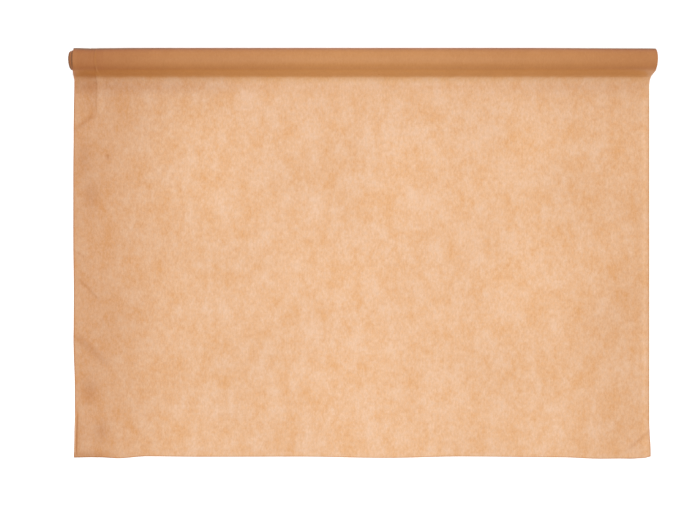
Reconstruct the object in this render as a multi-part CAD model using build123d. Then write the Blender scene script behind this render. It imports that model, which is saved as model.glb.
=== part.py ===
from build123d import *

import math
import os

# A roll of gift-wrapping paper with its first half metre drawn out flat on a table.
# +X runs along the roll, +Y from the sheet's free edge towards the roll, +Z up.
# The origin is the middle of the whole outline, at the table's surface. All sizes are in mm.

# ---- Driving sizes -------------------------------------------------------------------------

# Paper
web_width = 700.0  # the paper's width, which is the roll's length
paper_caliper = 0.08
turn_air = 0.007  # trapped between one turn and the next
inner_turn_count = 34  # turns wound square to the core, flush with its ends
pleated_turn_count = 24  # turns above them, which hold the pleat
pleat_overlap = 3.4  # width of the z-fold near one edge, which draws that edge in by twice this

# Cardboard core, three glued plies
core_bore_radius = 8.0
core_ply_thickness = 0.5

# Tape that tacks the paper's start to the core
tape_thickness = 0.1
tape_width = 12.0  # round the core
tape_end_margin = 20.0  # from each end of the core
tape_angle = 40.0  # its middle, in degrees round the core from the top towards the sheet

# Outermost turn, and where the sheet leaves it
outer_turn_gap_angle = 8.0  # between the sheet's start and the end of the turn, in degrees
lead_off_angle = 76.0  # where the sheet leaves the roll, in degrees from the top
lead_off_radius = 11.0  # underside of the curve that lands on the table

# Flat sheet
flat_run = 452.0  # from the landing line to the free edge
leading_edge_depth = 25.0  # the strip at the free edge that a hand pulls

# Clearances
tape_clearance = 0.03  # between the tape and the first turn
running_clearance = 0.15  # between the wound turns and the outermost one, which stays still

# ---- Derived sizes -------------------------------------------------------------------------

core_ply_names = ("core_inner_ply", "core_middle_ply", "core_outer_ply")
core_radius = core_bore_radius + len(core_ply_names) * core_ply_thickness
tape_outer_radius = core_radius + tape_thickness
tape_length = web_width - 2 * tape_end_margin
turn_pitch = paper_caliper + turn_air
inner_turns_bore_radius = tape_outer_radius + tape_clearance
inner_turns_radius = inner_turns_bore_radius + inner_turn_count * turn_pitch
pleated_turns_radius = inner_turns_radius + pleated_turn_count * turn_pitch
outer_turn_bore_radius = pleated_turns_radius + running_clearance
roll_radius = outer_turn_bore_radius + paper_caliper
pleated_edge_inset = 2 * pleat_overlap

# The sheet's underside leaves the outermost turn along its tangent, runs straight, and then
# bends through the same angle the other way on lead_off_radius until it lies flat.
leave_sin = math.sin(math.radians(lead_off_angle))
leave_cos = math.cos(math.radians(lead_off_angle))
leave_height = roll_radius + outer_turn_bore_radius * leave_cos
bend_height = lead_off_radius * (1 - leave_cos)
straight_run = (leave_height - bend_height) / leave_sin
landing_distance = (
    outer_turn_bore_radius * leave_sin + straight_run * leave_cos + lead_off_radius * leave_sin
)

# The outline runs from the free edge to the back of the roll, with the origin midway.
outline_depth = flat_run + landing_distance + roll_radius
axis_y = outline_depth / 2 - roll_radius
axis_z = roll_radius
landing_y = axis_y - landing_distance
free_edge_y = -outline_depth / 2
pull_strip_y = free_edge_y + leading_edge_depth

# ---- Helpers -------------------------------------------------------------------------------
# Sections are drawn in the YZ plane and drawn out along X.


def along_roll(section, left_end=-web_width / 2, right_end=web_width / 2):
    """The solid of a YZ section, from one X to another."""
    solid = extrude(section, amount=right_end - left_end, dir=(1, 0, 0))
    return Pos(left_end, 0, 0) * solid


def round_axis(radius, angle):
    """A point on a circle about the roll's axis, the angle from the top towards the sheet."""
    turned = math.radians(angle)
    return Vector(0, axis_y - radius * math.sin(turned), axis_z + radius * math.cos(turned))


def arc_round_axis(radius, start_angle, end_angle):
    """An arc about the roll's axis, through the point midway between its two angles."""
    middle_angle = (start_angle + end_angle) / 2
    return ThreePointArc(
        round_axis(radius, start_angle),
        round_axis(radius, middle_angle),
        round_axis(radius, end_angle),
    )


def ring_section(inner_radius, outer_radius, start_angle, end_angle):
    """The section of a shell that goes part of the way round the roll."""
    inner_arc = arc_round_axis(inner_radius, start_angle, end_angle)
    outer_arc = arc_round_axis(outer_radius, start_angle, end_angle)
    start_edge = Line(inner_arc @ 0, outer_arc @ 0)
    end_edge = Line(inner_arc @ 1, outer_arc @ 1)
    return make_face([inner_arc, outer_arc, start_edge, end_edge])


def tube(inner_radius, outer_radius, left_end=-web_width / 2):
    """A full tube about the roll's axis, flush with the paper's far edge."""
    section_plane = Plane(origin=(0, axis_y, axis_z), x_dir=(0, 1, 0), z_dir=(1, 0, 0))
    section = section_plane * (Circle(outer_radius) - Circle(inner_radius))
    return along_roll(section, left_end=left_end)


def flat_strip(near_y, far_y):
    """Paper lying on the table between two Y."""
    corner = Vector(-web_width / 2, near_y, 0)
    return Pos(corner) * Box(
        web_width, far_y - near_y, paper_caliper, align=(Align.MIN, Align.MIN, Align.MIN)
    )


# ---- Cardboard core ------------------------------------------------------------------------


def core_plies():
    """The core's plies, from the bore outwards."""
    plies = {}
    for index, name in enumerate(core_ply_names):
        ply_bore_radius = core_bore_radius + index * core_ply_thickness
        plies[name] = tube(ply_bore_radius, ply_bore_radius + core_ply_thickness)
    return plies


def start_tape():
    """The strip of tape along the core, under the first turn."""
    half_angle = math.degrees(tape_width / core_radius) / 2
    section = ring_section(
        core_radius, tape_outer_radius, tape_angle - half_angle, tape_angle + half_angle
    )
    return along_roll(section, left_end=-tape_length / 2, right_end=tape_length / 2)


# ---- Wound paper ---------------------------------------------------------------------------


def inner_turns():
    """The turns next to the core, wound square to it."""
    return tube(inner_turns_bore_radius, inner_turns_radius)


def pleated_turns():
    """The turns above, whose pleat draws their near edge in along the roll."""
    return tube(
        inner_turns_radius, pleated_turns_radius, left_end=-web_width / 2 + pleated_edge_inset
    )


def outer_turn():
    """The outermost turn, which stays still while the roll turns inside it."""
    start_angle = lead_off_angle - (360 - outer_turn_gap_angle)
    section = ring_section(outer_turn_bore_radius, roll_radius, start_angle, lead_off_angle)
    return along_roll(section, left_end=-web_width / 2 + pleated_edge_inset)


# ---- Drawn-out sheet -----------------------------------------------------------------------


def lead_off():
    """The sheet between the roll and the table: a straight run, then a curve that lands flat."""
    along_run = Vector(0, -leave_cos, -leave_sin) * straight_run
    curve_centre = Vector(0, landing_y, lead_off_radius)
    middle_turned = math.radians(lead_off_angle / 2)
    to_middle = Vector(0, math.sin(middle_turned), -math.cos(middle_turned))
    sides = []
    for start_radius, curve_radius in (
        (outer_turn_bore_radius, lead_off_radius),
        (roll_radius, lead_off_radius - paper_caliper),
    ):
        start = round_axis(start_radius, lead_off_angle)
        bend_start = start + along_run
        landing = curve_centre - Vector(0, 0, curve_radius)
        sides.append(Line(start, bend_start))
        sides.append(ThreePointArc(bend_start, curve_centre + to_middle * curve_radius, landing))
    roll_end = Line(sides[0] @ 0, sides[2] @ 0)
    table_end = Line(sides[1] @ 1, sides[3] @ 1)
    return along_roll(make_face([*sides, roll_end, table_end]))


def free_sheet():
    """The flat sheet, up to the strip that is pulled."""
    return flat_strip(pull_strip_y, landing_y)


def leading_edge():
    """The strip at the free edge, which a hand pulls."""
    return flat_strip(free_edge_y, pull_strip_y)


# ---- Write one file for each piece ---------------------------------------------------------

pieces = {
    **core_plies(),
    "start_tape": start_tape(),
    "inner_turns": inner_turns(),
    "pleated_turns": pleated_turns(),
    "outer_turn": outer_turn(),
    "lead_off": lead_off(),
    "free_sheet": free_sheet(),
    "leading_edge": leading_edge(),
}

os.makedirs("parts", exist_ok=True)
for name, piece in pieces.items():
    export_step(piece, f"parts/{name}.step")

wound_length = 2 * math.pi * (
    inner_turn_count * (inner_turns_bore_radius + inner_turns_radius) / 2
    + pleated_turn_count * (inner_turns_radius + pleated_turns_radius) / 2
    + roll_radius
)
lead_off_length = straight_run + lead_off_radius * math.radians(lead_off_angle)
print(f"roll diameter {2 * roll_radius:.3f}, bore radius {core_bore_radius}")
print(f"axis at Y {axis_y:.4f}, Z {axis_z:.4f}; outline depth {outline_depth:.4f}")
print(f"landing line at Y {landing_y:.4f}, pull strip from Y {pull_strip_y:.4f}")
print(f"drawn out {lead_off_length + flat_run:.1f}, wound {wound_length:.0f}")
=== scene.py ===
import math

import bmesh
import bpy
import numpy as np
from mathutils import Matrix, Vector


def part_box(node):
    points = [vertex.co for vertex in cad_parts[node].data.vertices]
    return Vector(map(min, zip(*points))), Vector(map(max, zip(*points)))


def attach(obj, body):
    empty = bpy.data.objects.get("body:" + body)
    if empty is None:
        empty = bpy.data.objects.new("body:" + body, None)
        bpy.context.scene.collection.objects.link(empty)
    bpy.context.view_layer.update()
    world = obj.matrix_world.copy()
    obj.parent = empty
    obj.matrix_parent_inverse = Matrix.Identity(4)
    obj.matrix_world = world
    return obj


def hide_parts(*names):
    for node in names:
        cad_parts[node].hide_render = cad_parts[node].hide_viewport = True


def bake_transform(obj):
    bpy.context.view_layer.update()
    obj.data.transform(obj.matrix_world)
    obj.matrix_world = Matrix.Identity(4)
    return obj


# A roll of kraft wrapping paper with its first half metre drawn out flat on a white table.
# +X runs along the roll, +Y from the free edge towards the roll, +Z up. All sizes are in metres.

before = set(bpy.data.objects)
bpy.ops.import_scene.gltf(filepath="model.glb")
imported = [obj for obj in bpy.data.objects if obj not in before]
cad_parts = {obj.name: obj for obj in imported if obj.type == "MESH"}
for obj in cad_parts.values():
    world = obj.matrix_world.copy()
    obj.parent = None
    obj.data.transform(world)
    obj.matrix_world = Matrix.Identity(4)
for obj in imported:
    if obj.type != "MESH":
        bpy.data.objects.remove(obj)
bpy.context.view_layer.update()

MM = 0.001

# ---- Sizes from the frame ------------------------------------------------------------------

turn_low, turn_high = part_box("outer_turn")
roll_radius = (turn_high.z - turn_low.z) / 2
axis_y = (turn_low.y + turn_high.y) / 2
axis_z = (turn_low.z + turn_high.z) / 2
left_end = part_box("free_sheet")[0].x
right_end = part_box("free_sheet")[1].x
web_width = right_end - left_end
landing_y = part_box("free_sheet")[1].y
free_edge_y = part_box("leading_edge")[0].y
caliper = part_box("free_sheet")[1].z
inner_pack_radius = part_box("inner_turns")[1].z - axis_z
pleated_pack_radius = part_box("pleated_turns")[1].z - axis_z
pleated_left_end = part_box("pleated_turns")[0].x
stuck_out_length = pleated_left_end - left_end
core_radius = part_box("core_outer_ply")[1].z - axis_z
tape_low, tape_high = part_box("start_tape")

# ---- Sizes the frame's boxes don't give ----------------------------------------------------

turn_pitch = 0.087 * MM
inner_turn_count = 34
pleated_turn_count = 24
core_ply_names = ("core_inner_ply", "core_middle_ply", "core_outer_ply")
core_ply_thickness = 0.5 * MM
core_gap = 0.01 * MM  # glue line between plies

lead_off_angle = math.radians(76)  # where the sheet leaves the roll, from the top
turn_gap_angle = math.radians(8)  # between the sheet's start and the end of its turn
lead_off_radius = 11 * MM  # underside of the curve that lands on the table

tape_width = 12 * MM  # round the core
tape_heights = (0.02 * MM, 0.09 * MM)  # its underside and top, off the core
tape_angle = math.radians(40)  # its middle, from the top towards the sheet

pleat_overlap = stuck_out_length / 2
pleat_at = 26.8 * MM  # from the sheet's left edge
pleat_x = pleated_left_end + pleat_at
pleat_fold_length = 0.28 * MM  # of paper bent in each of the z-fold's two folds
smallest_overlap = 0.4 * MM  # where the z-fold flattens out

mid_radius = roll_radius - caliper / 2
mid_curve_radius = lead_off_radius - caliper / 2
turn_length = mid_radius * (math.tau - turn_gap_angle)
leave_height = axis_z + mid_radius * math.cos(lead_off_angle)
bend_height = caliper / 2 + mid_curve_radius * (1 - math.cos(lead_off_angle))
straight_length = (leave_height - bend_height) / math.sin(lead_off_angle)
curve_length = mid_curve_radius * lead_off_angle
leave_s = turn_length
bend_s = leave_s + straight_length
landing_s = bend_s + curve_length
web_length = landing_s + landing_y - free_edge_y

# ---- Helpers for shapes --------------------------------------------------------------------


def smooth(value, low=0.0, high=1.0):
    """0 below low, 1 above high, and a smooth rise between."""
    t = np.clip((value - low) / (high - low), 0, 1)
    return t * t * (3 - 2 * t)


def bell(value, centre, half_width):
    """1 at the centre, and down to a third half a width away."""
    return np.exp(-(((value - centre) / half_width) ** 2))


def waves(across, along, seed, longest, octaves=3):
    """Gentle random waves between -1 and 1, the same on each run."""
    random = np.random.default_rng(seed)
    total = np.zeros(np.broadcast(across, along).shape)
    for octave in range(octaves):
        for _ in range(4):
            heading, phase = random.uniform(0, math.tau, 2)
            turns = (across * math.cos(heading) + along * math.sin(heading)) / longest * 2**octave
            total += np.sin(math.tau * turns + phase) / 2**octave
    return total / 7


def runs(*stretches):
    """Stations along a line from (end, step) pairs, each stretch cut evenly."""
    stations = [0.0]
    for end, step in stretches:
        start = stations[-1]
        count = max(1, round((end - start) / step))
        stations.extend(start + (end - start) * (k + 1) / count for k in range(count))
    return np.array(stations)


def skin_quads(index):
    """Quads between the rows and columns of a grid of vertex numbers."""
    return np.stack([index[:-1, :-1], index[1:, :-1], index[1:, 1:], index[:-1, 1:]], -1).reshape(-1, 4)


def rim_quads(top, bottom):
    """Quads that close two skins round their four sides."""
    around_top = np.concatenate([top[0, :-1], top[:-1, -1], top[-1, :0:-1], top[:0:-1, 0]])
    around_bottom = np.concatenate(
        [bottom[0, :-1], bottom[:-1, -1], bottom[-1, :0:-1], bottom[:0:-1, 0]]
    )
    return np.stack(
        [around_top, np.roll(around_top, -1), np.roll(around_bottom, -1), around_bottom], -1
    )


def finish_mesh(piece, sharp_angle=40):
    """Turns faces outwards, shades smooth and keeps cut edges sharp."""
    shape = bmesh.new()
    shape.from_mesh(piece.data)
    bmesh.ops.recalc_face_normals(shape, faces=shape.faces)
    for face in shape.faces:
        face.smooth = True
    shape.to_mesh(piece.data)
    shape.free()
    piece.data.set_sharp_from_angle(angle=math.radians(sharp_angle))


def add_piece(name, points, faces):
    """A new object in the scene, from its points and faces."""
    mesh = bpy.data.meshes.new(name)
    mesh.from_pydata(points.tolist(), [], faces.tolist())
    piece = bpy.data.objects.new(name, mesh)
    bpy.context.scene.collection.objects.link(piece)
    return piece


def add_shell(name, top, bottom):
    """A closed thin piece from the grids of points of its two skins."""
    count = top.shape[0] * top.shape[1]
    top_index = np.arange(count).reshape(top.shape[:2])
    bottom_index = top_index + count
    points = np.concatenate([top.reshape(-1, 3), bottom.reshape(-1, 3)])
    faces = np.concatenate(
        [skin_quads(top_index), skin_quads(bottom_index)[:, ::-1], rim_quads(top_index, bottom_index)]
    )
    return add_piece(name, points, faces)


def add_paper_map(piece, across, along):
    """A UV map in metres of flat paper, the same on both skins."""
    values = np.stack([np.tile(across.ravel(), 2), np.tile(along.ravel(), 2)], -1)
    corners = np.zeros(len(piece.data.loops), np.int32)
    piece.data.loops.foreach_get("vertex_index", corners)
    layer = piece.data.uv_layers.new(name="paper")
    layer.data.foreach_set("uv", values[corners].astype(np.float32).ravel())


def add_shade(piece, name, values):
    """A number for each point that a material reads, the same on both skins."""
    attribute = piece.data.attributes.new(name, "FLOAT", "POINT")
    attribute.data.foreach_set("value", np.tile(values.ravel(), 2).astype(np.float32))


def round_axis(radius, angle, x):
    """Points about the roll's axis, the angle from the top towards the sheet."""
    y = axis_y - radius * np.sin(angle)
    z = axis_z + radius * np.cos(angle)
    return np.stack(np.broadcast_arrays(x, y, z), -1)


# ---- The sheet: its path from the roll to the free edge -------------------------------------


def web_path(s):
    """Place and direction of the sheet's middle, s along the paper from its end under the roll."""
    turned = lead_off_angle - (leave_s - s) / mid_radius
    on_roll = s <= leave_s
    on_straight = (s > leave_s) & (s <= bend_s)
    on_curve = (s > bend_s) & (s <= landing_s)
    still_turned = np.clip((landing_s - s) / mid_curve_radius, 0, lead_off_angle)
    slope = np.where(on_roll, turned, still_turned)
    leave_y = axis_y - mid_radius * math.sin(lead_off_angle)
    y = np.select(
        [on_roll, on_straight, on_curve],
        [
            axis_y - mid_radius * np.sin(turned),
            leave_y - (s - leave_s) * math.cos(lead_off_angle),
            landing_y + mid_curve_radius * np.sin(still_turned),
        ],
        landing_y - (s - landing_s),
    )
    z = np.select(
        [on_roll, on_straight, on_curve],
        [
            axis_z + mid_radius * np.cos(turned),
            leave_height - (s - leave_s) * math.sin(lead_off_angle),
            lead_off_radius - mid_curve_radius * np.cos(still_turned),
        ],
        caliper / 2,
    )
    return y, z, slope


def pleat_taper(s):
    """How far the z-fold's two folds are apart: they run together as the sheet leaves the roll."""
    closed = 1 - smooth(s, leave_s - 17 * MM, landing_s - 7 * MM)
    return smallest_overlap + (pleat_overlap - smallest_overlap) * closed


def pleat_tilt(s):
    """How far the paper between the two folds is turned over: half a turn until they meet."""
    return math.pi * (1 - smooth(s, landing_s - 9 * MM, landing_s))


def fold_across(p, s):
    """Where the z-fold puts each point across the sheet: along X, and up from the sheet."""
    half = pleat_fold_length / 2
    second_fold = pleat_at + pleat_taper(s)[:, None]
    first = smooth(p - pleat_at, -half, half)
    second = smooth(p - second_fold, -half, half)
    tilt = pleat_tilt(s)[:, None] * (first - second)
    step = np.diff(p, axis=1)
    run = (np.cos(tilt[:, 1:]) + np.cos(tilt[:, :-1])) / 2 * step
    fall = (np.sin(tilt[:, 1:]) + np.sin(tilt[:, :-1])) / 2 * step
    none = np.zeros((len(s), 1))
    x_from_left = np.concatenate([none, np.cumsum(run, 1)], 1)
    fall_from_left = np.concatenate([none, np.cumsum(fall, 1)], 1)
    x = right_end - (x_from_left[:, -1:] - x_from_left)
    # The folds raise the paper to their left, which settles back onto the turn beneath.
    raised = fall_from_left[:, -1:] * (1 - smooth(pleat_at - p, 3.8 * MM, 9 * MM))
    return x, raised - fall_from_left


SLIMMER_STRETCH = (0.18, 0.34)  # X between which the roll gets slimmer towards its right end


def slack(x):
    """How much lower the turns lie next to the pleat and at the right end, where they are slack."""
    aside = x - pleat_x
    beyond = 0.85 * MM * (1 - smooth(-aside, 0, 27 * MM))
    before = 0.35 * MM * (1 - smooth(aside, 0, 45 * MM))
    dip = beyond + (before - beyond) * smooth(aside, -1.5 * MM, 1 * MM)
    return dip + 0.5 * MM * smooth(x, *SLIMMER_STRETCH)


# ---- The sheet: creases and waves -----------------------------------------------------------

# Each crease is a line on the flat sheet, with the height of its fold and its half width.
CREASES = (
    ((-349.7, 5), (-336, -4), 0.30, 0.9),
    ((-346, -28), (-316, -59), 0.45, 1.6),
    ((-350, -97), (-304, -137.5), 0.90, 6.0),
    ((-323, 172), (-350, 149), 0.80, 3.2),
    ((350.5, -214.5), (321, -238.5), 0.60, 2.2),
)

# Soft painted shade near the left edge, where the paper waves a little, and one small dark speck: place,
# radii, strength.
SHADE_SPOTS_AND_SPECK = (
    ((-329, 72), (9, 16), 0.22),
    ((-331, -165), (10, 15), 0.26),
    ((-317, -215), (9, 12), 0.24),
    ((-330, -245), (26, 5), 0.3),
    ((-338, 117), (8, 20), 0.18),
    ((-309, 118.3), (2.2, 1.9), 0.7),
)


def from_line(x, y, start, end):
    """Distances along a line and aside from it, and the line's length."""
    start, end = Vector(start) * MM, Vector(end) * MM
    line = end - start
    along = ((x - start.x) * line.x + (y - start.y) * line.y) / line.length
    aside = ((x - start.x) * line.y - (y - start.y) * line.x) / line.length
    return along, aside, line.length


def crease_shape(x, y, start, end, half_width):
    """1 along a crease's line and 0 away from it, fading out at both its ends."""
    along, aside, length = from_line(x, y, start, end)
    fade = smooth(along, -0.05 * length, 0.2 * length)
    fade = fade * (1 - smooth(along, 0.7 * length, 1.05 * length))
    return fade * bell(aside, 0, half_width * MM)


def crease_lift(x, y):
    """How far the creases stand up."""
    lift = np.zeros(x.shape)
    for start, end, height, half_width in CREASES:
        lift += height * MM * crease_shape(x, y, start, end, half_width)
    return lift


# How far the left edge strays inwards, as (Y, distance). The sheet lies a little wavy.
LEFT_EDGE_SWAY = (
    (-248, -0.3),
    (-222, 0.3),
    (-195, 1.0),
    (-165, 0.9),
    (-105, -0.7),
    (-45, -0.3),
    (15, -1.0),
    (85, -1.0),
    (150, -0.6),
    (205, 0),
)

# How far the free edge strays outwards, as (X, distance). It was cut by hand.
FREE_EDGE_SWAY = (
    (-350, 0.2),
    (-331, -0.1),
    (-319, 0.1),
    (-296, 1.2),
    (-262, -1.2),
    (-197, -0.6),
    (-75, -0.8),
    (30, 0.8),
    (120, -1.0),
    (241, 0),
    (290, 1.8),
    (326, 1.5),
    (342, 0.6),
    (350, -1.2),
)


def sway(points, value):
    """A smooth line through points of (place, distance), both in millimetres."""
    total = points[0][1] + 0 * value
    for (place, distance), (next_place, next_distance) in zip(points, points[1:]):
        total = total + (next_distance - distance) * smooth(value, place * MM, next_place * MM)
    return total * MM


def edge_curl(x, y):
    """How far the left edge near the free end lifts into an arch."""
    from_free_edge = y - free_edge_y
    stretch = smooth(from_free_edge, 0, 9 * MM) * (1 - smooth(from_free_edge, 40 * MM, 59 * MM))
    from_edge = x - left_end
    arch = smooth(from_edge, 0, 4 * MM) * (1 - smooth(from_edge, 6 * MM, 26 * MM))
    return 2.4 * MM * stretch * arch


def corner_lift(x, y):
    """The corner past the crease at the right, which bends up a little."""
    start, end = CREASES[-1][:2]
    aside = from_line(x, y, start, end)[1]
    return 1.1 * MM * smooth(-aside, 1 * MM, 15 * MM)


def flat_lift(x, y):
    """How far the flat sheet stands off the table."""
    wave = 0.12 * MM * (1 + waves(x, y, 11, 0.32, 2))
    left_strip = 0.7 * MM * (1 - smooth(x, left_end, left_end + 34 * MM))
    left_strip = left_strip * (0.55 + 0.45 * waves(0 * x, y, 21, 0.13))
    return wave + np.maximum(left_strip, 0) + crease_lift(x, y) + corner_lift(x, y)


def roll_relief(p, angle):
    """Small unevenness of the outermost turn: prints of the pleats beneath, and slow waves."""
    prints = 0.11 * MM * bell(p, 20.0 * MM, 0.7 * MM)
    prints = prints + 0.09 * MM * bell(p, 38.5 * MM, 0.6 * MM) + 0.07 * MM * bell(p, 42.5 * MM, 0.7 * MM)
    slow = -0.04 * MM * (1 + waves(p, angle * 4 * MM, 31, 0.16))
    corner = crease_shape(p, angle * mid_radius, (676, -12), (700, 2), 0.9)
    corner = corner + crease_shape(p, angle * mid_radius, (668, -4), (688, 12), 0.8)
    return prints + slow + 0.18 * MM * corner


# ---- The sheet ------------------------------------------------------------------------------


def stations_along():
    """Stations along the sheet from its end under the roll, closest where it bends."""
    return runs(
        (leave_s, 1.2 * MM),
        (bend_s, 1.2 * MM),
        (landing_s, 0.8 * MM),
        (landing_s + 75 * MM, 2.0 * MM),
        (web_length - 60 * MM, 3.3 * MM),
        (web_length, 1.7 * MM),
    )


def stations_across(s):
    """Stations across the sheet from its left edge, close together at the two folds."""
    half = pleat_fold_length / 2
    past_folds = 35 * MM
    close_margin = 60 * MM  # close stations this far in from each edge
    second_fold = pleat_at + pleat_taper(s)[:, None]
    to_first = runs((pleat_at - half, 1.25 * MM))[None, :] + 0 * second_fold
    round_first = runs((2 * half, 0.035 * MM))[None, 1:] + pleat_at - half
    share = np.linspace(0, 1, 7)[None, 1:]
    between = pleat_at + half + share[:, :-1] * (second_fold - pleat_at - 2 * half)
    round_second = second_fold - half + runs((2 * half, 0.035 * MM))[None, :]
    after = second_fold + half + share * (past_folds - second_fold - half)
    close_end = close_margin - past_folds
    wide_end = web_width - close_margin - past_folds
    middle = past_folds + runs((close_end, 1.4 * MM), (wide_end, 8.5 * MM))[None, 1:]
    right = web_width - close_margin + runs((close_margin, 1.4 * MM))[None, 1:]
    rows = np.zeros_like(second_fold)
    parts = (to_first, round_first + rows, between, round_second, after, middle + rows, right + rows)
    return np.concatenate(parts, 1)


def offset_skins(middle, thickness):
    """The two skins of a sheet, half its thickness to each side of its middle."""
    across = np.gradient(middle, axis=1)
    along = np.gradient(middle, axis=0)
    normal = np.cross(along, across)
    normal /= np.linalg.norm(normal, axis=-1, keepdims=True)
    return middle + normal * thickness / 2, middle - normal * thickness / 2


def web():
    """The outermost turn and the drawn-out paper, as one sheet with its waves and creases."""
    s = stations_along()
    p = stations_across(s)
    y, z, slope = (values[:, None] for values in web_path(s))
    x, up = fold_across(p, s)
    on_roll = 1 - smooth(s, leave_s - 2 * MM, bend_s)[:, None]
    on_table = smooth(s, landing_s - 6 * MM, landing_s + 25 * MM)[:, None]
    up = up + on_roll * (roll_relief(p, slope) - slack(x))
    up = up + on_table * (flat_lift(x, y) + edge_curl(x, y))
    by_free_end = 1 - smooth(y - free_edge_y, 2 * MM, 47 * MM)
    flare = (1.3 * MM * by_free_end + 0.8 * MM * on_roll) * smooth(x, right_end - 40 * MM, right_end)
    near_left = 1 - smooth(x, left_end, left_end + 16 * MM)
    near_end = 1 - smooth(web_length - s, 0, 30 * MM)[:, None]
    # On the roll's back, the outermost turn's left edge lies further out.
    round_back = 2.3 * MM * smooth(-slope, math.radians(25), math.radians(80))
    stray = on_table * sway(LEFT_EDGE_SWAY, y) - on_roll * round_back
    x_shown = x + near_left * stray + flare
    y_shown = y - up * np.sin(slope) - near_end * sway(FREE_EDGE_SWAY, x)
    z_shown = z + up * np.cos(slope)
    middle = np.stack(np.broadcast_arrays(x_shown, y_shown, z_shown), -1)
    top, bottom = offset_skins(middle, caliper)
    piece = add_shell("paper_web", top, bottom)
    finish_mesh(piece)
    add_paper_map(piece, p, s[:, None] + 0 * p)
    # Painted light and shade on the paper: deeper colour off the table, light through it near the landing,
    # and painted shade with one dark speck.
    add_shade(piece, "stack_and_shade", smooth(z_shown, 0.2 * MM, 12 * MM))
    add_shade(piece, "backlit", backlight(x, y_shown, z_shown))
    shade_and_specks = side_shade_and_roughness(x) + on_roll * roll_shade_and_roughness(x, slope)
    add_shade(piece, "shade_and_specks", shade_and_specks + (1 - on_roll) * sheet_shade_and_speck(p, x, y + 0 * x, on_table))
    return piece


def middle_light(x):
    """1 where the light falls fullest, near the middle: 0 at the left end, a half at the right."""
    return smooth(x, -0.24, -0.05) - 0.5 * smooth(x, 0.08, 0.24)


def backlight(x, y, z):
    """Where the paper off the table looks lighter, as if lit from behind, mostly mid-sheet."""
    near_landing = 1 - smooth(landing_y - y, -3 * MM, 34 * MM)
    lifted = smooth(z, 0.2 * MM, 2 * MM)
    single = 1 - smooth(z, 4.5 * MM, 8.5 * MM)
    steep = smooth(axis_y - y, 8 * MM, 12.5 * MM) * smooth(z, 8 * MM, 9.5 * MM)
    mid_sheet = middle_light(x)
    return mid_sheet * near_landing * single * (0.3 + 0.15 * lifted) + (0.10 + 0.12 * mid_sheet) * steep


def side_shade_and_roughness(x):
    """Painted shade where the light falls off towards the left edge, less so the right, which also makes
    the paper rougher there.
    """
    from_left = x - left_end
    left = 0.29 * (1 - smooth(from_left, 10 * MM, 170 * MM)) + 0.17 * np.exp(-from_left / (130 * MM))
    return left + 0.16 * (1 - smooth(right_end - x, 25 * MM, 160 * MM))


# Thin lines of painted shade on the roll beside the pleat's painted highlight: distance from it, strength.
PLEAT_LINES = ((-7.4, 0.08), (-5.0, 0.08), (-1.5, 0.14), (2.3, 0.14), (5.4, 0.08), (8.2, 0.08))


def roll_shade_and_roughness(x, angle):
    """Painted shade on the roll, which also makes it rougher: more away from its middle and at its right
    end, on its top, on its near side where it turns down, and most on its far side; with the pleat's
    painted highlight and lines, and a painted highlight near its left edge.
    """
    aside = smooth(np.abs(x - 20 * MM), 60 * MM, 160 * MM)
    facing_up = 1 - smooth(angle, math.radians(35), math.radians(70))
    far_side = bell(angle, math.radians(-72), math.radians(27))
    # Painted highlight on the pleat's ridge.
    lines = -0.28 * bell(x, pleat_x, 0.6 * MM)
    for from_pleat, strength in PLEAT_LINES:
        lines = lines + strength * bell(x, pleat_x + from_pleat * MM, 0.6 * MM)
    # Painted highlight along the outermost turn's left edge, which curls up a little.
    edge_highlight = -0.10 * bell(x, pleated_left_end + 2.5 * MM, 1.6 * MM)
    by_right_end = smooth(x, right_end - 70 * MM, right_end)
    # Painted shade on the top and towards the ends, on the near side where the roll turns down, and deepest
    # on the far side.
    top = (0.18 + 0.04 * aside) * facing_up + 0.08 * aside + 0.06 * by_right_end
    near_side = 0.28 * bell(angle, math.radians(53), math.radians(13))
    return top + near_side + 1.15 * far_side + lines + edge_highlight


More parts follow.
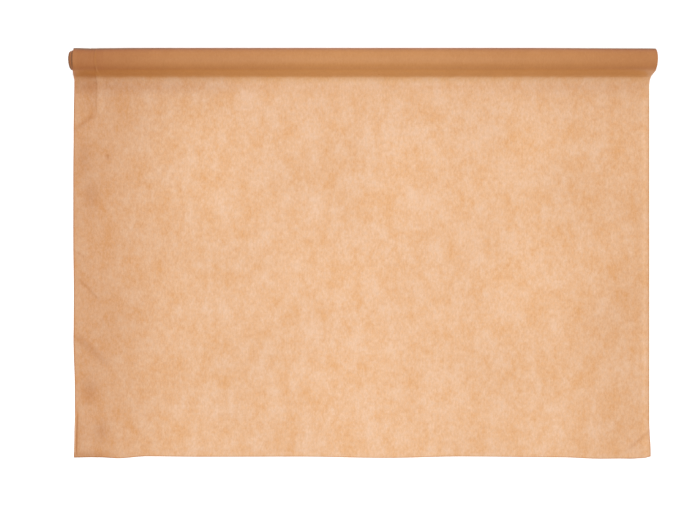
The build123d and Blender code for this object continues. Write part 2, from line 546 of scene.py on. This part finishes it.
def sheet_shade_and_speck(p, x, y, on_table):
    """Painted shade and light on the drawn-out sheet: along the creases, in soft spots, beside the pleat's
    line, by the roll and along the cut edges; with one dark speck.
    """
    shade_and_specks = np.zeros(x.shape)
    # Painted shade along the creases.
    for start, end, _, half_width in CREASES:
        shade_and_specks += (0.2 + 0.12 / half_width) * crease_shape(x, y, start, end, 0.8 * half_width)
    for (spot_x, spot_y), (radius_x, radius_y), strength in SHADE_SPOTS_AND_SPECK:
        spot = bell(x, spot_x * MM, radius_x * MM) * bell(y, spot_y * MM, radius_y * MM)
        shade_and_specks += strength * spot
    # A lighter line of painted light near the right edge.
    shade_and_specks -= 0.14 * bell(x, right_end - 6 * MM, 2.6 * MM)
    # Painted shade on the pleat's line and to its left, painted light to its right.
    pleat = 0.26 * bell(p, pleat_at, 0.9 * MM) - 0.10 * bell(p, pleat_at + 6 * MM, 4 * MM)
    pleat = pleat + 0.10 * smooth(pleat_at - p, 0, 2 * MM) * bell(p, pleat_at, 10 * MM)
    # Painted shade on the sheet at the roll's foot, and over the left strip near the landing.
    shaded = smooth(y, landing_y - 16 * MM, landing_y)
    left_strip = 1 - smooth(x, pleated_left_end + 6 * MM, pleat_x)
    foot = 1 - smooth(y, landing_y + 3 * MM, landing_y + 9 * MM)
    by_roll = 0.13 * foot * (1 - middle_light(x)) + 0.13 * left_strip
    from_left = x - left_end
    from_free_edge = y - free_edge_y
    to_edge = np.minimum(np.minimum(from_left, right_end - x), from_free_edge)
    # Painted shade along the cut edges, and on the steep strip where the curled left edge turns down, with
    # a lighter strip outside it.
    cut_edge = 0.7 * (1 - smooth(to_edge, 0, 1.7 * MM))
    curled = smooth(from_free_edge, 1 * MM, 9 * MM) * (1 - smooth(from_free_edge, 47 * MM, 61 * MM))
    turned_down = bell(from_left, 3.4 * MM, 1.3 * MM) - bell(from_left, 0.8 * MM, 1.3 * MM)
    edges = cut_edge + 0.55 * turned_down * curled
    pleat = pleat * smooth(y, landing_y - 37 * MM, landing_y - 25 * MM)
    return on_table * (shade_and_specks + edges) + pleat + by_roll * shaded


# ---- The wound paper ------------------------------------------------------------------------

STEPS_A_TURN = 72
THINNEST = 0.004 * MM  # the ribbon's thickness where it starts and ends
dark_end = left_end + 20 * MM  # the painted shade on the turns' left end fades out here


def wound_pack(name, bore_radius, turn_count, left_of_turn, x_stations, squeeze):
    """Paper wound in a spiral, a closed ribbon.

    left_of_turn says how far short of the pack's left end the paper stops, for each angle, and
    squeeze gives the radius it is drawn in to."""
    angle = np.arange(turn_count * STEPS_A_TURN + 1) * math.tau / STEPS_A_TURN
    inside = bore_radius + turn_pitch * np.maximum(angle / math.tau - 1, 0)
    outside = bore_radius + turn_pitch * angle / math.tau
    outside = np.maximum(np.minimum(inside + caliper, outside), inside + THINNEST)
    near_left_end = np.maximum(1 - (x_stations - x_stations[0]) / stuck_out_length, 0)
    x = x_stations[None, :] + left_of_turn(angle)[:, None] * near_left_end[None, :]
    top = round_axis(squeeze(outside[:, None], x), -angle[:, None], x)
    bottom = round_axis(squeeze(inside[:, None], x), -angle[:, None], x)
    piece = add_shell(name, top, bottom)
    finish_mesh(piece)
    along = np.broadcast_to((outside * angle)[:, None], x.shape)
    add_paper_map(piece, x - left_end, along)
    add_shade(piece, "stack_and_shade", np.ones(x.shape))
    add_shade(piece, "backlit", np.zeros(x.shape))
    # Painted shade on the turns' stuck-out left end, with a band of painted highlight across it.
    dark = 0.95 * (1 - smooth(x, pleated_left_end, dark_end))
    stripe = 0.8 * bell(x, left_end + 3.2 * MM, 0.6 * MM)
    add_shade(piece, "shade_and_specks", side_shade_and_roughness(x) + dark - stripe)
    return piece


def inner_pack():
    """The square turns, whose outermost few end a little short at the left."""
    bore_radius = inner_pack_radius - inner_turn_count * turn_pitch

    def uneven(angle):
        outward = angle / angle[-1]
        return 6 * MM * outward**3 + 0.35 * MM * (1 + waves(angle * MM, 0 * angle, 41, 6 * MM))

    stuck_out = np.linspace(left_end, pleated_left_end, 16)
    stations = np.concatenate([stuck_out, [dark_end, 0, right_end]])
    return wound_pack(
        "wound_inner_turns", bore_radius, inner_turn_count, uneven, stations, lambda r, x: r + 0 * x
    )


def pleated_pack():
    """The turns drawn in by the pleat, pressed closer together beyond it."""

    def uneven(angle):
        return 0.3 * MM * (1 + waves(angle * MM, 0 * angle, 43, 5 * MM))

    def squeeze(radius, x):
        depth = pleated_pack_radius - inner_pack_radius
        return radius - slack(x) * (radius - inner_pack_radius) / depth

    near_pleat = pleat_x + np.array([-18, -9, -3, -1.5, -0.3, 1, 4, 12, 25, 46]) * MM
    slimmer = np.linspace(*SLIMMER_STRETCH, 7)
    stations = np.concatenate([[pleated_left_end], near_pleat, slimmer, [right_end]])
    return wound_pack(
        "wound_pleated_turns", inner_pack_radius, pleated_turn_count, uneven, stations, squeeze
    )


# ---- The core and its tape ------------------------------------------------------------------

PLY_STRIP_PITCH = 62 * MM  # along the core, from one turn of the strip to the next
PLY_SEAM = 0.35 * MM  # between the strip's edges
PLY_SEAM_SHIFT = 0.35  # from one ply's seam to the next one's, as a share of the pitch
PLY_STEPS = 72
PLY_END_GAP = 0.02 * MM  # each ply ends this far inside the paper's edges


def cut_square(piece, x, side):
    """Cuts the piece off at x, and closes the cut. side is -1 at the left end and 1 at the right."""
    shape = bmesh.new()
    shape.from_mesh(piece.data)
    everything = shape.verts[:] + shape.edges[:] + shape.faces[:]
    cut = bmesh.ops.bisect_plane(
        shape, geom=everything, plane_co=(x, 0, 0), plane_no=(side, 0, 0), clear_outer=True
    )
    edges = [item for item in cut["geom_cut"] if isinstance(item, bmesh.types.BMEdge)]
    bmesh.ops.holes_fill(shape, edges=edges, sides=0)
    shape.to_mesh(piece.data)
    shape.free()


def core_ply(index, name):
    """One ply of the core: a strip of board wound in a helix, its edges butted, cut square."""
    bore_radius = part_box(name)[1].z - axis_z - core_ply_thickness
    turns = math.ceil(web_width / PLY_STRIP_PITCH) + 3
    angle = np.arange(turns * PLY_STEPS + 1) * math.tau / PLY_STEPS
    start_x = left_end - (1.9 - PLY_SEAM_SHIFT * index) * PLY_STRIP_PITCH
    strip = np.linspace(0, PLY_STRIP_PITCH - PLY_SEAM, 5)
    x = start_x + PLY_STRIP_PITCH * angle[:, None] / math.tau + strip[None, :]
    outside = round_axis(bore_radius + core_ply_thickness - core_gap, angle[:, None], x)
    inside = round_axis(bore_radius + core_gap, angle[:, None], x)
    piece = add_shell(f"{name}_strip", outside, inside)
    cut_square(piece, left_end + PLY_END_GAP, -1)
    cut_square(piece, right_end - PLY_END_GAP, 1)
    finish_mesh(piece)
    return piece


def start_tape():
    """The tape under the first turn, with the toothed ends a dispenser leaves."""
    tooth_count = 8
    tooth_depth = 1.2 * MM
    around = np.linspace(0, 1, 4 * tooth_count + 1)
    angle = tape_angle + (around - 0.5) * tape_width / core_radius
    teeth = np.abs((around * tooth_count) % 1 - 0.5) * 2 * tooth_depth
    x = np.tile(np.linspace(tape_low.x, tape_high.x, 60), (len(around), 1))
    x[:, 0] += teeth
    x[:, -1] -= teeth
    bottom, top = (round_axis(core_radius + height, angle[:, None], x) for height in tape_heights)
    piece = add_shell("start_tape_strip", top, bottom)
    finish_mesh(piece)
    return piece


# ---- Materials ------------------------------------------------------------------------------

WHITE = (1, 1, 1, 1)


class Nodes:
    """A short way to add shader nodes and join them."""

    def __init__(self, tree):
        self.tree = tree

    def add(self, kind, settings=None, **inputs):
        node = self.tree.nodes.new(f"ShaderNode{kind}")
        for name, value in (settings or {}).items():
            setattr(node, name, value)
        for name, value in inputs.items():
            self.feed(node, name.replace("_", " "), value)
        return node

    def feed(self, node, name, value):
        socket = node.inputs[name]
        if isinstance(value, bpy.types.NodeSocket):
            self.tree.links.new(value, socket)
        else:
            socket.default_value = value

    def math(self, operation, first, second):
        node = self.add("Math", {"operation": operation})
        self.feed(node, 0, first)
        self.feed(node, 1, second)
        return node.outputs[0]

    def soft_step(self, value, low, high, to_low, to_high):
        node = self.add("MapRange", {"interpolation_type": "SMOOTHSTEP"}, Value=value)
        for name, number in zip(("From Min", "From Max", "To Min", "To Max"), (low, high, to_low, to_high)):
            self.feed(node, name, number)
        return node.outputs["Result"]

    def remap(self, value, low, high, to_low=0.0, to_high=1.0):
        node = self.add("MapRange", {}, Value=value, From_Min=low, From_Max=high)
        self.feed(node, "To Min", to_low)
        self.feed(node, "To Max", to_high)
        return node.outputs["Result"]

    def mix(self, factor, first, second, blend="MIX"):
        node = self.add("MixRGB", {"blend_type": blend}, Fac=factor)
        self.feed(node, "Color1", first)
        self.feed(node, "Color2", second)
        return node.outputs["Color"]

    def noise(self, vector, scale, detail, roughness):
        node = self.add("TexNoise", {}, Vector=vector, Scale=scale, Detail=detail)
        self.feed(node, "Roughness", roughness)
        return node.outputs["Fac"]

    def stretched(self, vector, scale):
        node = self.add("Mapping", {}, Vector=vector, Scale=scale)
        return node.outputs["Vector"]

    def bump(self, height, strength, distance):
        node = self.add("Bump", {}, Height=height, Strength=strength, Distance=distance)
        return node.outputs["Normal"]


def new_material(name):
    """A material, its nodes and its shader."""
    material = bpy.data.materials.new(name)
    material.use_nodes = True
    return material, Nodes(material.node_tree), material.node_tree.nodes["Principled BSDF"]


def linear(red, green, blue):
    """A colour given in display values from 0 to 255, as the linear one a shader takes."""
    channels = [c / 255 for c in (red, green, blue)]
    return (*(c / 12.92 if c <= 0.04045 else ((c + 0.055) / 1.055) ** 2.4 for c in channels), 1)


def kraft_paper():
    """Machine-glazed kraft paper: cloudy, with fibres along the web, deeper in colour on the roll.

    Each point of the mesh gives three numbers: the deeper colour of the stacked turns, which also paints
    shade on paper off the table, while the flat sheet's lighter colour is painted light from the white
    table showing through it; whether it looks lit from behind (backlit); and its painted shade, which also
    holds one dark speck, makes the paper rougher and past 1 turns dark brown."""
    material, nodes, shader = new_material("kraft_paper")
    place = nodes.add("UVMap", {"uv_map": "paper"}).outputs["UV"]
    stack_and_shade, backlit, shade_and_specks = (
        nodes.add("Attribute", {"attribute_name": name}).outputs["Fac"]
        for name in ("stack_and_shade", "backlit", "shade_and_specks")
    )
    cloud = nodes.noise(nodes.stretched(place, (1.0, 0.62, 1)), 40, 7, 0.92)
    fibre = nodes.noise(nodes.stretched(place, (1.0, 0.4, 1)), 520, 4, 0.75)
    slow = nodes.noise(place, 7, 2, 0.5)
    cloud = nodes.remap(cloud, 0.38, 0.62)
    # Painted light: the flat sheet's colour is lightened by the white table showing through it. Paper off
    # the table takes the wound turns' deeper colour, which paints its shade.
    sheet = nodes.mix(cloud, linear(207, 148, 87), linear(217, 179, 148))
    wound = nodes.mix(cloud, linear(180, 119, 53), linear(187, 126, 61))
    colour = nodes.mix(stack_and_shade, sheet, wound)
    colour = nodes.mix(nodes.math("MULTIPLY", backlit, 0.55), colour, linear(240, 193, 140))
    fibres = nodes.mix(nodes.remap(fibre, 0.3, 0.7), linear(168, 117, 70), linear(246, 203, 160))
    colour = nodes.mix(nodes.remap(stack_and_shade, 0, 1, 0.22, 0.08), colour, fibres)
    colour = nodes.mix(nodes.remap(slow, 0.35, 0.65, 0.0, 0.09), colour, linear(160, 108, 66))
    # Painted shade, turning dark brown past 1; it also makes the paper rougher.
    shade_tone = nodes.mix(1.0, colour, linear(206, 173, 130), "MULTIPLY")
    colour = nodes.mix(shade_and_specks, colour, shade_tone)
    colour = nodes.mix(nodes.remap(shade_and_specks, 1.0, 1.6), colour, linear(112, 72, 42))
    nodes.feed(shader, "Base Color", colour)
    glaze = nodes.remap(cloud, 0, 1, 0.35, 0.27)
    nodes.feed(shader, "Roughness", nodes.math("ADD", glaze, nodes.math("MULTIPLY", shade_and_specks, 0.25)))
    nodes.feed(shader, "Specular IOR Level", 0.45)
    height = nodes.math("ADD", nodes.math("MULTIPLY", fibre, 0.6), cloud)
    nodes.feed(shader, "Normal", nodes.bump(height, 0.18, 0.02 * MM))
    return material


def core_board():
    """Grey-brown core board with flecks and fibres."""
    material, nodes, shader = new_material("core_board")
    place = nodes.add("TexCoord").outputs["Object"]
    cloud = nodes.noise(nodes.stretched(place, (0.5, 1, 1)), 260, 6, 0.7)
    fleck = nodes.noise(nodes.stretched(place, (0.35, 1, 1)), 2600, 2, 0.5)
    colour = nodes.mix(nodes.remap(cloud, 0.3, 0.7), linear(142, 112, 82), linear(176, 145, 112))
    colour = nodes.mix(nodes.remap(fleck, 0.62, 0.72), colour, linear(108, 82, 60))
    nodes.feed(shader, "Base Color", colour)
    nodes.feed(shader, "Roughness", nodes.remap(cloud, 0.3, 0.7, 0.85, 0.95))
    nodes.feed(shader, "Specular IOR Level", 0.3)
    nodes.feed(shader, "Normal", nodes.bump(cloud, 0.4, 0.08 * MM))
    return material


def tape_film():
    """Cream paper tape with a fine crepe across it."""
    material, nodes, shader = new_material("tape_film")
    place = nodes.add("TexCoord").outputs["Object"]
    crepe = nodes.noise(nodes.stretched(place, (1, 0.1, 0.1)), 1400, 3, 0.6)
    colour = nodes.mix(nodes.remap(crepe, 0.3, 0.7), linear(214, 196, 158), linear(232, 217, 184))
    nodes.feed(shader, "Base Color", colour)
    nodes.feed(shader, "Roughness", nodes.remap(crepe, 0.3, 0.7, 0.5, 0.62))
    nodes.feed(shader, "Normal", nodes.bump(crepe, 0.5, 0.05 * MM))
    return material


def table_white():
    """The white table, with a faint unevenness, lit a little from within like a photo studio's."""
    material, nodes, shader = new_material("table_white")
    place = nodes.add("TexCoord").outputs["Object"]
    cloud = nodes.noise(place, 3, 4, 0.5)
    colour = nodes.mix(cloud, (0.93, 0.93, 0.93, 1), (0.95, 0.95, 0.95, 1))
    nodes.feed(shader, "Base Color", colour)
    nodes.feed(shader, "Roughness", nodes.remap(cloud, 0, 1, 0.75, 0.85))
    nodes.feed(shader, "Specular IOR Level", 0.2)
    nodes.feed(shader, "Emission Color", WHITE)
    nodes.feed(shader, "Emission Strength", 0.16)
    return material


# ---- Camera, light and table ----------------------------------------------------------------

DOME_LIGHT = 0.90
PANEL_LIGHT = 0.95
SOFTBOX_POWER = 1.0


def add_camera():
    """Straight above the table, a little off the object's middle."""
    camera = bpy.data.cameras.new("camera")
    camera.lens = 46.64
    camera.sensor_width = 36
    camera.clip_start = 0.01
    holder = bpy.data.objects.new("camera", camera)
    holder.location = (-0.0143, -0.0101, 1.104)
    bpy.context.scene.collection.objects.link(holder)
    bpy.context.scene.camera = holder


def add_sky():
    """An overhead dome of soft light, with a brighter long panel above that runs along Y."""
    world = bpy.data.worlds.new("soft_studio")
    bpy.context.scene.world = world
    world.use_nodes = True
    nodes = Nodes(world.node_tree)
    place = nodes.add("TexCoord").outputs["Generated"]
    axes = nodes.add("SeparateXYZ", Vector=place).outputs
    dome = nodes.soft_step(axes["Z"], 0.0, 0.5, 1.2 * DOME_LIGHT, DOME_LIGHT)
    aside = nodes.math("ABSOLUTE", axes["X"], 0.0)
    panel = nodes.soft_step(aside, 0.16, 0.34, PANEL_LIGHT, 0.0)
    panel = nodes.math("MULTIPLY", panel, nodes.soft_step(axes["Y"], -0.84, -0.50, 0.0, 1.0))
    panel = nodes.math("MULTIPLY", panel, nodes.soft_step(axes["Z"], 0.10, 0.45, 0.0, 1.0))
    background = nodes.tree.nodes["Background"]
    nodes.feed(background, "Color", WHITE)
    nodes.feed(background, "Strength", nodes.math("ADD", dome, panel))


def add_softbox():
    """A long softbox above the sheet, whose light falls off towards the sheet's sides."""
    light = bpy.data.lights.new("softbox", "AREA")
    light.shape = "RECTANGLE"
    light.size = 1.5
    light.size_y = 1.8
    light.spread = math.radians(80)
    light.energy = SOFTBOX_POWER
    holder = bpy.data.objects.new("softbox", light)
    holder.location = (0.0, 0.0, 1.5)
    bpy.context.scene.collection.objects.link(holder)


def add_table():
    """A flat white table, just below the paper."""
    reach = 6.0
    count = 25
    x, y = np.meshgrid(np.linspace(-reach, reach, count), np.linspace(-reach, reach, count))
    points = np.stack([x, y, np.full_like(x, -0.02 * MM)], -1).reshape(-1, 3)
    index = np.arange(count * count).reshape(count, count)
    table = add_piece("table", points, skin_quads(index.T))
    table.data.materials.append(table_white())


# ---- Put it together ------------------------------------------------------------------------

bpy.context.scene.view_settings.view_transform = "Standard"
add_camera()
add_sky()
add_softbox()
add_table()

kraft = kraft_paper()
board = core_board()
film = tape_film()

sheet = web()
sheet.data.materials.append(kraft)
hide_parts("outer_turn", "lead_off", "free_sheet", "leading_edge")
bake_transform(sheet)

for pack, node in ((inner_pack(), "inner_turns"), (pleated_pack(), "pleated_turns")):
    pack.data.materials.append(kraft)
    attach(pack, "roll")
    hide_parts(node)

for ply_index, node in enumerate(core_ply_names):
    ply = core_ply(ply_index, node)
    ply.data.materials.append(board)
    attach(ply, "roll")
    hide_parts(node)

tape = start_tape()
tape.data.materials.append(film)
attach(tape, "roll")
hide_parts("start_tape")
